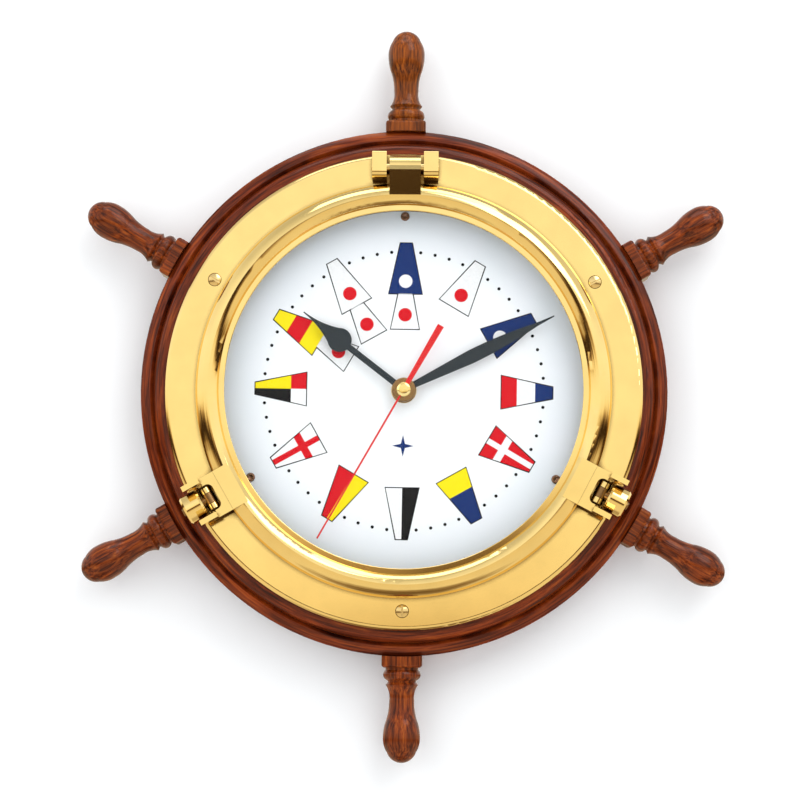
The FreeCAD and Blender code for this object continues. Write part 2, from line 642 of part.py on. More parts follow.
def hour_hand():
    base = "sqrt(hour_disc_radius * hour_disc_radius - hour_half_width * hour_half_width)"
    hand = flat_hand("hour_hand", HOUR_HAND_ANGLE, "hour_back", "hour_front", [
        ("-hour_half_width", "0"),
        ("hour_half_width", "0"),
        ("hour_half_width", f"hour_disc_at - {base}"),
        ("hour_disc_radius * cos(40)", "hour_disc_at + hour_disc_radius * sin(40)", "hour_disc_radius"),
        ("hand_tip_half", "hour_length", "-hour_taper_round"),
        ("-hand_tip_half", "hour_length"),
        ("-hour_disc_radius * cos(40)", "hour_disc_at + hour_disc_radius * sin(40)",
         "-hour_taper_round"),
        ("-hour_half_width", f"hour_disc_at - {base}", "hour_disc_radius"),
    ], "hour_hub", "hour_pipe + 0.01")
    return hand


def minute_hand():
    return flat_hand("minute_hand", MINUTE_HAND_ANGLE, "minute_back", "minute_front", [
        ("-minute_half_width", "0"),
        ("minute_half_width", "0"),
        ("minute_belly_half", "minute_belly_at"),
        ("minute_needle_half", "minute_needle_at", "minute_belly_round"),
        ("hand_tip_half", "minute_length"),
        ("-hand_tip_half", "minute_length"),
        ("-minute_needle_half", "minute_needle_at"),
        ("-minute_belly_half", "minute_belly_at", "minute_belly_round"),
    ], "minute_hub", "minute_pipe + 0.01")


def hand_nut():
    """The round nut that holds the minute hand on its pipe."""
    bore = "minute_pipe + 0.02"
    return turned_piece("hand_nut", [
        (bore, "minute_front + 0.03"),
        ("hand_nut_radius", "minute_front + 0.03"),
        ("hand_nut_radius", "hand_nut_front - hand_nut_round"),
        ("hand_nut_radius - hand_nut_round", "hand_nut_front", "hand_nut_round"),
        (bore, "hand_nut_front"),
    ])


def second_hand():
    hand = flat_hand("second_hand", SWEEP_HAND_ANGLE, "sweep_back", "sweep_front", [
        ("-sweep_tail_end", "-sweep_tail"),
        ("sweep_tail_end", "-sweep_tail"),
        ("sweep_tail_root", "0"),
        ("sweep_half_width", "sweep_cap"),
        ("sweep_half_width", "sweep_length"),
        ("-sweep_half_width", "sweep_length"),
        ("-sweep_half_width", "sweep_cap"),
        ("-sweep_tail_root", "0"),
    ], "sweep_cap", "second_arbor + 0.01")
    lathe(hand, [
        ("0", "sweep_front - 0.05"),
        ("sweep_cap", "sweep_front - 0.05"),
        ("sweep_cap", "sweep_front + 0.3"),
        ("0", "sweep_cap_front", dome("sweep_cap", "sweep_cap_front - sweep_front - 0.3")),
    ])
    return hand


# ---------------------------------------------------------------- movement

def solid_piece(label, shape, placement=None):
    """A piece whose shape is worked out by a formula."""
    made = doc.addObject("Part::Feature", label)
    made.Label = label
    made.Shape = shape
    made.Placement = UPRIGHT * (placement or Placement())
    keep(made)
    return made


def disc(radius, low, high, bore=0.0, spot=Vector()):
    """A round plate or rod between two heights, with an optional bore."""
    outer = Part.makeCylinder(radius, high - low, spot + Vector(0, 0, low))
    if bore:
        return outer.cut(Part.makeCylinder(bore, high - low, spot + Vector(0, 0, low)))
    return outer


TOOTH_HEIGHT = 0.8              # in modules, outwards from the pitch circle
TOOTH_DEPTH = 1.15              # in modules, inwards from the pitch circle
TIP_SHARE = 0.09                # half a tooth's tip, as a share of the tooth spacing
ROOT_SHARE = 0.27


def toothed(teeth, module, low, phase=0.0):
    """A spur gear with straight-sided teeth; at phase 0 a tooth points along +x."""
    tip = module * (teeth / 2 + TOOTH_HEIGHT)
    root = module * (teeth / 2 - TOOTH_DEPTH)
    pitch_angle = 2 * math.pi / teeth
    points = []
    for tooth in range(teeth):
        middle = tooth * pitch_angle + math.radians(phase)
        corners = ((root, -ROOT_SHARE), (tip, -TIP_SHARE), (tip, TIP_SHARE), (root, ROOT_SHARE))
        for radius, share in corners:
            angle = middle + share * pitch_angle
            points.append(Vector(radius * math.cos(angle), radius * math.sin(angle), low))
    face = Part.Face(Part.makePolygon(points + points[:1]))
    return face.extrude(Vector(0, 0, value("gear_thickness")))


def polar(distance, angle):
    """A point at a distance from the clock's axis, at an angle clockwise from 12 o'clock."""
    radians = math.radians(angle)
    return Vector(distance * math.sin(radians), distance * math.cos(radians), 0)


def mesh_phase(teeth, toward):
    """The phase that turns a gap between teeth to a direction, in degrees anticlockwise from +x."""
    return toward + 180 / teeth


def meshed_pair(teeth, distance, low, driver_axis, driven_axis):
    """Two gears in mesh: a tooth of the driver stands in a gap of the driven gear."""
    driver_teeth, driven_teeth = teeth
    module = 2 * distance / (driver_teeth + driven_teeth)
    line = driven_axis - driver_axis
    toward = math.degrees(math.atan2(line.y, line.x))
    driver = toothed(driver_teeth, module, low, toward)
    driven = toothed(driven_teeth, module, low, mesh_phase(driven_teeth, toward + 180))
    driver.translate(driver_axis)
    driven.translate(driven_axis)
    return driver, driven


def gear_train():
    """Seven arbors: rotor, intermediate, second, third, minute, motion work and hour."""
    centre = Vector()
    third_axis = polar(value("third_distance"), THIRD_ANGLE)
    motion_axis = polar(value("motion_distance"), MOTION_ANGLE)
    intermediate_axis = polar(value("intermediate_distance"), INTERMEDIATE_ANGLE)
    rotor_axis = intermediate_axis + polar(value("rotor_distance"), ROTOR_ANGLE)
    layers = [value("first_layer") + step * value("layer_step") for step in range(6)]
    thick = value("gear_thickness")
    arbor = value("arbor_radius")
    hub = value("hub_radius")
    slim_hub = value("slim_hub_radius")
    tail = value("case_back + cover_thickness - cover_pivot_depth")
    plate_pivot = value("gear_plate_front - plate_pivot_depth")
    wall_pivot = value("case_front - case_wall + wall_pivot_depth")

    rotor_pinion, intermediate_wheel = meshed_pair(
        ROTOR_TEETH, value("rotor_distance"), layers[0], rotor_axis, intermediate_axis)
    intermediate_pinion, second_wheel = meshed_pair(
        INTERMEDIATE_TEETH, value("intermediate_distance"), layers[1], intermediate_axis, centre)
    second_pinion, third_wheel = meshed_pair(
        SECOND_TEETH, value("third_distance"), layers[2], centre, third_axis)
    third_pinion, minute_wheel = meshed_pair(
        THIRD_TEETH, value("third_distance"), layers[3], third_axis, centre)
    cannon_pinion, motion_wheel = meshed_pair(
        MINUTE_TEETH, value("motion_distance"), layers[4], centre, motion_axis)
    motion_pinion, hour_wheel = meshed_pair(
        MOTION_TEETH, value("motion_distance"), layers[5], motion_axis, centre)

    magnet_back = layers[0] + thick + value("magnet_gap")
    magnet = disc(value("magnet_radius"), magnet_back, layers[2] + thick, spot=rotor_axis)
    solid_piece("rotor", fused(
        rotor_pinion, magnet, disc(arbor, tail, plate_pivot, spot=rotor_axis)))
    solid_piece("intermediate_wheel", fused(
        intermediate_wheel, intermediate_pinion,
        disc(hub, layers[0], layers[1] + thick, spot=intermediate_axis),
        disc(arbor, tail, plate_pivot, spot=intermediate_axis)))
    solid_piece("second_wheel", fused(
        second_wheel, second_pinion, disc(slim_hub, layers[1], layers[2] + thick),
        disc(value("second_arbor"), tail, value("sweep_front - arbor_recess"))))
    solid_piece("third_wheel", fused(
        third_wheel, third_pinion, disc(slim_hub, layers[2], layers[3] + thick, spot=third_axis),
        disc(arbor, tail, wall_pivot, spot=third_axis)))
    minute_pipe = disc(value("minute_pipe"), layers[3], value("minute_front"))
    minute_bore = disc(value("minute_pipe_bore"), layers[3] - 1, value("minute_front") + 1)
    solid_piece("minute_wheel", fused(minute_wheel, cannon_pinion, minute_pipe).cut(minute_bore))
    solid_piece("motion_wheel", fused(
        motion_wheel, motion_pinion, disc(hub, layers[4], layers[5] + thick, spot=motion_axis),
        disc(arbor, value("knob_back + knob_pivot"), wall_pivot, spot=motion_axis)))
    hour_pipe = disc(value("hour_pipe"), layers[5], value("hour_front"))
    hour_bore = disc(value("hour_pipe_bore"), layers[5] - 1, value("hour_front") + 1)
    solid_piece("hour_wheel", fused(hour_wheel, hour_pipe).cut(hour_bore))

    plate_back = value("gear_plate_front - gear_plate_thickness")
    width, height = value("gear_plate_width"), value("gear_plate_height")
    corner = Vector(-width / 2, value("gear_plate_foot"), plate_back)
    plate = Part.makeBox(width, height, value("gear_plate_thickness"), corner)
    for spot, radius in (
        (centre, hub), (third_axis, value("third_hub_bore")), (motion_axis, hub),
        (intermediate_axis, value("pivot_bore")), (rotor_axis, value("pivot_bore")),
    ):
        plate = plate.cut(disc(radius, plate_back - 1, plate_back + 2, spot=spot))
    solid_piece("gear_plate", plate)

    setting = fused(
        disc(value("knob_radius"), value("knob_back"), value("knob_front"), spot=motion_axis),
        disc(value("knob_neck"), value("knob_front - 0.1"), value("case_back - 0.5"), spot=motion_axis))
    for step in range(KNOB_GRIPS):
        notch = motion_axis + polar(value("knob_radius + knob_grip / 2"), 360 * step / KNOB_GRIPS)
        setting = setting.cut(disc(value("knob_grip"), 0, value("case_back"), spot=notch))
    bore = disc(arbor + 0.01, value("knob_back + knob_pivot"), value("case_back"), spot=motion_axis)
    solid_piece("setting_knob", setting.cut(bore))
    return centre, third_axis, motion_axis, intermediate_axis, rotor_axis


def fused(first, *others):
    return first.multiFuse(list(others)).removeSplitter()


def movement_case(pivots):
    """The square case: gear room above, cell bay below, both open at the back."""
    case = new_body("movement_case")
    box = new_sketch(case, "XY_Plane", "case_back")
    rectangle(box, "case_half", "-case_half", "case_half")
    extrude(case, box, "case_front - case_back")
    round_edges(case, "Fillet", "case_corner", lambda edge, middle: abs(
        abs(middle.x) - abs(middle.y)) < 0.01 and abs(middle.x) > value("case_half") - 0.1)
    inner = "case_half - case_wall"
    for low, high in (("room_foot", inner), (f"-({inner})", "bay_top")):
        hollow = new_sketch(case, "XY_Plane", "case_back")
        rectangle(hollow, inner, low, high)
        extrude(case, hollow, "case_front - case_wall - case_back", adds=False, reverse=True)
    hole = new_sketch(case, "XY_Plane", "case_front")
    circle(hole, "tube_radius + 0.02")
    extrude(case, hole, "2 * case_wall", adds=False)
    for spot in pivots:
        pivot = new_sketch(case, "XY_Plane", "case_front - case_wall")
        circle(pivot, "pivot_bore", (f"{spot.x:.4f}", f"{spot.y:.4f}"))
        extrude(case, pivot, "case_wall - 0.4", adds=False, reverse=True)
    return case


def movement_cover(pivots):
    cover = new_body("movement_cover")
    plate = new_sketch(cover, "XY_Plane", "case_back")
    rectangle(plate, "case_half - case_wall - 0.05", "room_foot + 0.05", "case_half - case_wall - 0.05")
    extrude(cover, plate, "cover_thickness")
    for spot in pivots:
        pivot = new_sketch(cover, "XY_Plane", "case_back")
        circle(pivot, "pivot_bore + 0.05", (f"{spot.x:.4f}", f"{spot.y:.4f}"))
        extrude(cover, pivot, "cover_thickness + 1", adds=False, reverse=True)
    return cover


def centre_tube():
    return turned_piece("centre_tube", [
        ("tube_bore", "tube_back"),
        ("tube_flange_radius", "tube_back"),
        ("tube_flange_radius", "tube_flange_front"),
        ("tube_radius", "tube_flange_front"),
        ("tube_radius", "tube_front - 0.4"),
        ("tube_radius - 0.4", "tube_front"),
        ("tube_bore", "tube_front"),
    ])


def centre_nut():
    nut = new_body("centre_nut")
    section = new_sketch(nut, "XY_Plane", "washer_front + 0.02")
    outline(section, [
        (f"centre_nut_radius * cos({angle})", f"centre_nut_radius * sin({angle})")
        for angle in range(0, 360, 60)
    ])
    circle(section, "tube_radius + 0.05")
    extrude(nut, section, "nut_front - washer_front - 0.02")
    return nut


def stator_and_coil(rotor_axis):
    """A stator loop whose far side is the core of the coil."""
    low = value("stator_back")
    high = low + value("stator_thickness")
    left, foot, top = value("stator_left"), value("stator_foot"), value("stator_top")
    width, leg = value("stator_width"), value("stator_leg")
    loop = Part.makeBox(width, top - foot, high - low, Vector(left, foot, low))
    window = Part.makeBox(
        width - 2 * leg, top - foot - 2 * leg, high - low, Vector(left + leg, foot + leg, low))
    lobe_width, lobe_foot = value("lobe_width"), value("lobe_foot")
    lobe = Part.makeBox(lobe_width, foot + leg / 2 - lobe_foot, high - low,
                        Vector(rotor_axis.x - lobe_width / 2, lobe_foot, low))
    plate = fused(loop.cut(window), lobe)
    solid_piece("stator", plate.cut(disc(value("stator_bore"), low - 1, high + 1, spot=rotor_axis)))

    core_row = top - leg / 2
    middle = (low + high) / 2
    along = Vector(1, 0, 0)
    start, length = value("winding_start"), value("winding_length")
    cheek, cheek_radius = value("coil_cheek"), value("coil_cheek_radius")
    winding = Part.makeCylinder(value("winding_radius"), length, Vector(start, core_row, middle), along)
    cheeks = [
        Part.makeCylinder(cheek_radius, cheek, Vector(spot, core_row, middle), along)
        for spot in (start - cheek, start + length)
    ]
    gap = 0.05
    core_space = Part.makeBox(width, leg + 2 * gap, high - low + 2 * gap,
                              Vector(left, top - leg - gap, low - gap))
    solid_piece("coil", fused(winding, *cheeks).cut(core_space))


def circuit_board():
    side = value("board_side")
    corner = Vector(value("board_left"), value("board_foot"), value("board_back"))
    solid_piece("circuit_board", Part.makeBox(side, side, value("board_thickness"), corner))


def battery():
    row = Vector(0, value("cell_row"), value("cell_height"))
    along = Vector(1, 0, 0)
    length = value("cell_front - cell_back")
    can = Part.makeCylinder(value("cell_radius"), length, row + along * value("cell_back"), along)
    can = can.makeFillet(0.6, [edge for edge in can.Edges if edge.Curve.TypeId == "Part::GeomCircle"])
    button = Part.makeCylinder(
        value("cell_button_radius"), value("cell_button") + 0.5, row + along * (value("cell_front") - 0.5),
        along)
    solid_piece("battery", fused(can, button))
    half = value("contact_half")
    thick = value("contact_thickness")
    for name, x in (
        ("battery_contact_negative", value("cell_back") - 0.05 - thick),
        ("battery_contact_positive", value("cell_front + cell_button") + 0.05),
    ):
        solid_piece(name, Part.makeBox(
            thick, 2 * half, 2 * half, Vector(x, row.y - half, row.z - half)))


# ---------------------------------------------------------------- hanging on the wall

def hanger_plate():
    plate = new_body("hanger_plate")
    blank = new_sketch(plate, "XY_Plane")
    rectangle(blank, "keyhole_half_width", "keyhole_low", "keyhole_high")
    extrude(plate, blank, "keyhole_thickness")
    entry = new_sketch(plate, "XY_Plane")
    circle(entry, "keyhole_entry", ("0", "keyhole_row"))
    extrude(plate, entry, "keyhole_thickness + 1", adds=False, reverse=True)
    slot = new_sketch(plate, "XY_Plane")
    outline(slot, [
        ("-keyhole_slot", "keyhole_row"),
        ("keyhole_slot", "keyhole_row"),
        ("keyhole_slot", "keyhole_row + keyhole_rise"),
        ("0", "keyhole_row + keyhole_rise + keyhole_slot", "keyhole_slot"),
        ("-keyhole_slot", "keyhole_row + keyhole_rise", "keyhole_slot"),
    ])
    extrude(plate, slot, "keyhole_thickness + 1", adds=False, reverse=True)
    for reach in ("hanger_screw_low", "hanger_screw_high"):
        lathe(plate, [
            ("0", "-1"),
            ("hanger_screw_head + 1.1", "-1"),
            ("hanger_screw_radius + 0.1", "keyhole_thickness - 0.3"),
            ("hanger_screw_radius + 0.1", "keyhole_thickness + 1"),
            ("0", "keyhole_thickness + 1"),
        ], adds=False, role="YZ_Plane", shift=reach)
    return plate


def hanger_screws():
    screw = new_body("hanger_screw")
    lathe(screw, [
        ("0", "0.05"),
        ("hanger_screw_head", "0.05"),
        ("hanger_screw_radius", "keyhole_thickness - 0.2"),
        ("hanger_screw_radius", "hanger_screw_depth - hanger_screw_radius"),
        ("0", "hanger_screw_depth"),
    ], role="YZ_Plane", shift="hanger_screw_low")
    rise = value("hanger_screw_high - hanger_screw_low")
    group("hanger_screws", screw, [Placement(), Placement(Vector(0, rise, 0), Rotation())])


# ---------------------------------------------------------------- the whole clock

keep(wheel_ring())
for number, hour in enumerate(HANDLE_HOURS, start=1):
    keep(handle(number, hour))
keep(flange(), bezel(), hinge_pin())
flange_screws()
for side, angle in DOG_ANGLES.items():
    keep(*dog(side, angle))
keep(
    turned_piece("glass", [
        ("0", "glass_back"), ("glass_radius", "glass_back"), ("glass_radius", "glass_front"),
        ("0", "glass_front"),
    ]),
    washer("glass_retainer", "retainer_inner", "retainer_outer", "retainer_back", "retainer_front"),
    washer("bezel_gasket", "gasket_inner + 0.05", "gasket_outer - 0.05", "gasket_back",
           "gasket_groove_top - 0.05"),
    dial(),
    washer("centre_washer", "tube_radius + 0.1", "washer_radius", "dial_front + 0.02", "washer_front"),
    centre_nut(),
    washer("rubber_washer", "tube_radius + 0.2", "rubber_radius", "rubber_back", "rubber_front"),
    hour_hand(),
    minute_hand(),
    hand_nut(),
    second_hand(),
    centre_tube(),
)
dial_screws()
centre, third, motion, intermediate, rotor = gear_train()
keep(movement_case([third, motion]), movement_cover([centre, third, motion, intermediate, rotor]))
stator_and_coil(rotor)
circuit_board()
battery()
keep(hanger_plate())
hanger_screws()

doc.recompute()
failed = [item.Name for item in doc.Objects if {"Invalid", "Error"} & set(item.State)]
if failed:
    raise RuntimeError(f"failed features: {failed}")

os.makedirs("parts", exist_ok=True)
for piece in pieces:
    shape = piece.Shape
    if shape.isNull() or not shape.isValid() or not shape.Solids:
        raise RuntimeError(f"{piece.Label} has no valid solid")
    shape.exportStep(f"parts/{piece.Label}.step")
    print(f"{piece.Label}: {len(shape.Solids)} solid, {shape.Volume:.0f} mm3")
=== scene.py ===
import json
import math

import bpy
from mathutils import Matrix, Vector


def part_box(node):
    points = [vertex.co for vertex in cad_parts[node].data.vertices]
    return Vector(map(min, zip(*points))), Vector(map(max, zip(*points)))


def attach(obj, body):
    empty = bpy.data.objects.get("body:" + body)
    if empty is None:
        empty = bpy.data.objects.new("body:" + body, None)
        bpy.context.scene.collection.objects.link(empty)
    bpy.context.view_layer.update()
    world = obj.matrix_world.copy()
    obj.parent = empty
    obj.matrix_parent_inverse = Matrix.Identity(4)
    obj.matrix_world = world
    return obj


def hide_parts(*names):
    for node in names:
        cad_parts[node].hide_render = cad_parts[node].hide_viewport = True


# The clock hangs on a wall that is the plane y = 0, with its dial facing -Y and 12 o'clock up.
# Pieces are drawn with the clock lying on its back, in millimetres: x to 3 o'clock, y to 12
# o'clock and z off the wall. UPRIGHT stands them up into the frame, in metres.

MM = 0.001
UPRIGHT = Matrix.Rotation(math.radians(90), 4, "X")

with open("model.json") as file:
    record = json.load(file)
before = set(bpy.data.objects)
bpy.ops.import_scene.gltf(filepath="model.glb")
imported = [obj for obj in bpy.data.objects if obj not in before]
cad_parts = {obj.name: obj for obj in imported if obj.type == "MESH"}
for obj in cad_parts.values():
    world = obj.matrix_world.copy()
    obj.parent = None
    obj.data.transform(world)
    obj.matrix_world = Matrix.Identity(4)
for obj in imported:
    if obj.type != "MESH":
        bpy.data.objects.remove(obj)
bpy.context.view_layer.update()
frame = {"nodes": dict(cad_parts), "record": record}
nodes = frame["nodes"]


# ---------------------------------------------------------------- sizes read from the frame

def front(node):
    """Height of a node's front off the wall, in millimetres."""
    return -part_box(node)[0].y / MM


def back(node):
    """Height of a node's back off the wall, in millimetres."""
    return -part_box(node)[1].y / MM


DIAL_FRONT = front("dial")
PRINT = 0.06                    # thickness of one layer of print on the dial
HANDLE_HOURS = (12, 2, 4, 6, 8, 10)
DIAL_SCREW_HOURS = (12, 4, 8)
SWEEP_HAND_ANGLE = 209.7        # degrees clockwise from 12 o'clock
SWEEP_TIP = 88                  # how far the second hand reaches from the centre
SWEEP_TAIL = 38
SWEEP_HUB = 3.6                 # radius of its round part, under the cap
DIAL_TURN = 0.55                # degrees by which the print sits clockwise of upright
BORDER = 0.52                   # width of the thin line round a pennant
DISC = 3.5                      # radius of a pennant's disc
MINUTE_RING = 71.9              # radius of the ring of minute dots
MINUTE_DOT = 0.85
STAR_CENTRE = 28.5              # how far the star sits below the dial's centre
STAR_POINT, STAR_WAIST = 5.6, 1.5
DIAL_SCREW_CIRCLE = 90.3
DIAL_SCREW_DEPTH = 11


# ---------------------------------------------------------------- mesh helpers

def turned(angle):
    """A turn about the clock's axis, clockwise for someone who faces the dial."""
    return Matrix.Rotation(math.radians(-angle), 4, "Z")


def add_mesh(name, points, faces, place, material, smooth=True):
    """A mesh drawn in millimetres on the lying clock and stood up into the frame."""
    mesh = bpy.data.meshes.new(name)
    stand = UPRIGHT @ place
    mesh.from_pydata([stand @ (Vector(point) * MM) for point in points], [], faces)
    mesh.update()
    made = bpy.data.objects.new(name, mesh)
    bpy.context.scene.collection.objects.link(made)
    mesh.materials.append(material)
    if smooth:
        mesh.shade_smooth()
    return made


def soften(piece, width):
    """Round a piece's sharp edges by a width in millimetres."""
    bevel = piece.modifiers.new("edge_round", "BEVEL")
    bevel.width = width * MM
    bevel.segments = 2
    bevel.limit_method = "ANGLE"
    bevel.angle_limit = math.radians(35)


def lathe(name, outline, steps, material, place=Matrix.Identity(4)):
    """Turn (radius, height) points about z; the outline starts and ends on the axis."""
    points, faces, rings = [], [], []
    for radius, height in outline:
        if radius < 1e-6:
            rings.append([len(points)] * steps)
            points.append((0, 0, height))
            continue
        rings.append(list(range(len(points), len(points) + steps)))
        for step in range(steps):
            angle = 2 * math.pi * step / steps
            points.append((radius * math.cos(angle), radius * math.sin(angle), height))
    for low, high in zip(rings, rings[1:]):
        for step in range(steps):
            after = (step + 1) % steps
            corners = [low[step], low[after], high[after], high[step]]
            face = [corner for index, corner in enumerate(corners) if corner not in corners[:index]]
            if len(face) > 2:
                faces.append(face)
    return add_mesh(name, points, faces, place, material)


def plate(name, outline, low, high, place, material):
    """A flat plate with the given anticlockwise (x, y) outline, between two heights."""
    count = len(outline)
    points = [(x, y, low) for x, y in outline] + [(x, y, high) for x, y in outline]
    faces = [list(range(count))[::-1], list(range(count, 2 * count))]
    for index in range(count):
        after = (index + 1) % count
        faces.append([index, after, count + after, count + index])
    return add_mesh(name, points, faces, place, material, smooth=False)


def arc(centre, radius, start, stop, parts):
    """Points of an arc between two angles in degrees."""
    angles = [math.radians(start + (stop - start) * part / parts) for part in range(parts + 1)]
    return [(centre[0] + radius * math.cos(a), centre[1] + radius * math.sin(a)) for a in angles]


def join(name, pieces):
    """One object made of several, each keeping its place and material."""
    bpy.ops.object.select_all(action="DESELECT")
    for piece in pieces:
        piece.select_set(True)
    bpy.context.view_layer.objects.active = pieces[0]
    bpy.ops.object.join()
    pieces[0].name = name
    return pieces[0]


# ---------------------------------------------------------------- material helpers

class Look:
    """A short way to build a material's node tree around one Principled shader."""

    def __init__(self, name, **sockets):
        self.material = bpy.data.materials.new(name)
        self.material.use_nodes = True
        self.tree = self.material.node_tree
        self.shader = self.tree.nodes["Principled BSDF"]
        for socket, amount in sockets.items():
            self.shader.inputs[socket.replace("_", " ")].default_value = amount

    def add(self, kind, inputs=None, **settings):
        node = self.tree.nodes.new(kind)
        for key, setting in settings.items():
            setattr(node, key, setting)
        for key, source in (inputs or {}).items():
            self.feed(node.inputs[key], source)
        return node

    def feed(self, socket, source):
        if isinstance(source, bpy.types.NodeSocket):
            self.tree.links.new(source, socket)
        elif isinstance(source, bpy.types.Node):
            self.tree.links.new(source.outputs[0], socket)
        else:
            socket.default_value = source

    def place(self, scale=(1, 1, 1), turn=0.0, offset=(0, 0, 0)):
        """Object coordinates in millimetres, turned about the clock's axis, moved and scaled."""
        coordinates = self.add("ShaderNodeTexCoord")
        upright = self.add("ShaderNodeMapping", {
            "Vector": coordinates.outputs["Object"],
            "Rotation": (0, math.radians(-turn), 0),
            "Location": offset,
            "Scale": (1 / MM,) * 3,
        })
        return self.add("ShaderNodeMapping", {"Vector": upright, "Scale": scale})

    def noise(self, vector, scale, detail=4.0, roughness=0.55, distortion=0.0):
        return self.add("ShaderNodeTexNoise", {
            "Vector": vector, "Scale": scale, "Detail": detail, "Roughness": roughness,
            "Distortion": distortion,
        })

    def ramp(self, source, stops):
        """A colour ramp; each stop is (position, (red, green, blue))."""
        node = self.add("ShaderNodeValToRGB", {"Fac": source})
        while len(node.color_ramp.elements) < len(stops):
            node.color_ramp.elements.new(0.5)
        for element, (position, colour) in zip(node.color_ramp.elements, stops):
            element.position = position
            element.color = (*colour, 1)
        return node

    def span(self, source, low, high, start=0.0, stop=1.0):
        """Map a value between start and stop onto low and high."""
        return self.add("ShaderNodeMapRange", {
            "Value": source, "From Min": start, "From Max": stop, "To Min": low, "To Max": high,
        })

    def math(self, operation, first, second=0.0):
        node = self.add("ShaderNodeMath", operation=operation)
        self.feed(node.inputs[0], first)
        self.feed(node.inputs[1], second)
        return node

    def multiply(self, share, first, second):
        """The first colour times the second, to the given share."""
        node = self.add("ShaderNodeMix", data_type="RGBA", blend_type="MULTIPLY")
        self.feed(node.inputs[0], share)
        self.feed(node.inputs[6], first)
        self.feed(node.inputs[7], second)
        return node.outputs[2]

    def bump(self, height, strength, distance, edge=0.0):
        """Raise the surface by a height map and round its edges, both in millimetres."""
        node = self.add("ShaderNodeBump", {
            "Height": height, "Strength": strength, "Distance": distance * MM,
        })
        if edge:
            rounded = self.add("ShaderNodeBevel", {"Radius": edge * MM}, samples=6)
            self.feed(node.inputs["Normal"], rounded)
        self.set("Normal", node)

    def set(self, socket, source):
        self.feed(self.shader.inputs[socket], source)


def grey(level):
    return (level, level, level)


def scaled(colour, factor):
    return tuple(part * factor for part in colour)


# ---------------------------------------------------------------- materials

def around_axis(look, turn_scale, radial_scale):
    """Coordinates that stretch a texture round the clock's axis, with no seam."""
    spot = look.add("ShaderNodeSeparateXYZ", {"Vector": look.place()})
    x, depth, z = spot.outputs
    squares = look.math("ADD", look.math("MULTIPLY", x, x), look.math("MULTIPLY", z, z))
    radius = look.math("SQRT", squares)
    across = look.math("MULTIPLY", look.math("DIVIDE", x, radius), turn_scale)
    up = look.math("MULTIPLY", look.math("DIVIDE", z, radius), turn_scale)
    layer = look.math("ADD", radius, look.math("MULTIPLY", depth, 0.8))
    return look.add("ShaderNodeCombineXYZ", {
        "X": across, "Y": up, "Z": look.math("MULTIPLY", layer, radial_scale),
    })


def varnished_wood(name, turn=None, seed=0.0, warmth=0.0):
    """Varnished red-brown wood; its grain runs along a handle, or round the ring if turn is None."""
    look = Look(name, Coat_Weight=0.42, Coat_Roughness=0.07, Coat_IOR=1.4, IOR=1.2)
    if turn is None:
        fibres = around_axis(look, 6.0, 0.9)
        figure = around_axis(look, 3.5, 0.22)
    else:
        fibres = look.place((1, 1, 0.05), turn, (seed, 0, 0))
        figure = look.place((1, 1, 0.16), turn, (0, seed, seed))
    streaks = look.noise(fibres, 0.75, 6.0, 0.62, 0.4)
    bands = look.noise(figure, 0.20 if turn is not None else 1.0, 3.0, 0.5, 0.8)
    pores = look.noise(fibres, 3.4, 2.0, 0.5)
    colour = look.ramp(streaks, [
        (0.30, (0.026, 0.003, 0.001)),
        (0.44, (0.11 + 0.05 * warmth, 0.013 + 0.02 * warmth, 0.002)),
        (0.57, (0.25 + 0.06 * warmth, 0.036 + 0.03 * warmth, 0.004)),
        (0.74, (0.42 + 0.06 * warmth, 0.090 + 0.05 * warmth, 0.009)),
    ])
    shade = look.ramp(bands, [(0.32, grey(0.50)), (0.66, grey(1.0))])
    toned = look.multiply(1.0, colour, shade)
    dots = look.ramp(pores, [(0.30, grey(0.45)), (0.42, grey(1.0))])
    look.set("Base Color", look.multiply(0.6, toned, dots))
    look.set("Roughness", look.span(streaks, 0.30, 0.48))
    look.bump(pores, 0.12, 0.05, edge=0.6)
    return look.material


# Colour of brass recesses: painted shade and painted dark reflections in corners, slots and gaps
# between parts, along with tarnish.
TARNISH_AND_SHADE = (0.13, 0.08, 0.035)
RECESS_SHADE_REACH = 5               # millimetres within which another surface brings the painted shade and tarnish


def polished_brass(name, tint=(0.98, 0.74, 0.30), gloss=0.08, edge=0.0, dark_recesses=False):
    """Lacquered brass, with the faint unevenness of hand polishing; its recesses can be darkened with
    painted shade and tarnish.
    """
    look = Look(name, Metallic=1.0)
    spot = look.place()
    cloud = look.noise(spot, 0.05, 3.0, 0.5)
    fine = look.noise(spot, 1.6, 3.0, 0.6)
    colour = look.ramp(cloud, [(0.30, scaled(tint, 0.90)), (0.70, tint)])
    if dark_recesses:
        # Ambient occlusion darkens the brass where other surfaces are near: painted shade in the
        # recesses, with tarnish.
        openness = look.add("ShaderNodeAmbientOcclusion", {"Distance": RECESS_SHADE_REACH * MM}, samples=8)
        recess_darkening = look.ramp(openness.outputs["AO"], [(0.36, TARNISH_AND_SHADE), (0.74, grey(1.0))])
        colour = look.multiply(1.0, colour, recess_darkening)
    look.set("Base Color", colour)
    look.set("Roughness", look.span(fine, gloss * 0.7, gloss * 1.5))
    look.bump(look.noise(spot, 0.016, 0.0), 0.5, 0.7, edge)
    return look.material


def dial_white(name):
    look = Look(name, Coat_Weight=0.3, Coat_Roughness=0.15)
    spot = look.place((1, 0, 1))
    radius = look.add("ShaderNodeVectorMath", {"Vector": spot}, operation="LENGTH")
    # The face turns greyer and bluer from 62 to 94 mm out: painted shade cast by the bezel round the
    # dial's edge.
    edge = look.span(radius.outputs["Value"], 0.0, 1.0, 62.0, 94.0)
    look.set("Base Color", look.ramp(edge, [(0.0, (0.87, 0.88, 0.90)), (1.0, (0.66, 0.71, 0.78))]))
    look.set("Roughness", look.span(look.noise(look.place(), 0.6), 0.32, 0.42))
    look.bump(look.noise(look.place(), 2.4), 0.04, 0.02)
    return look.material


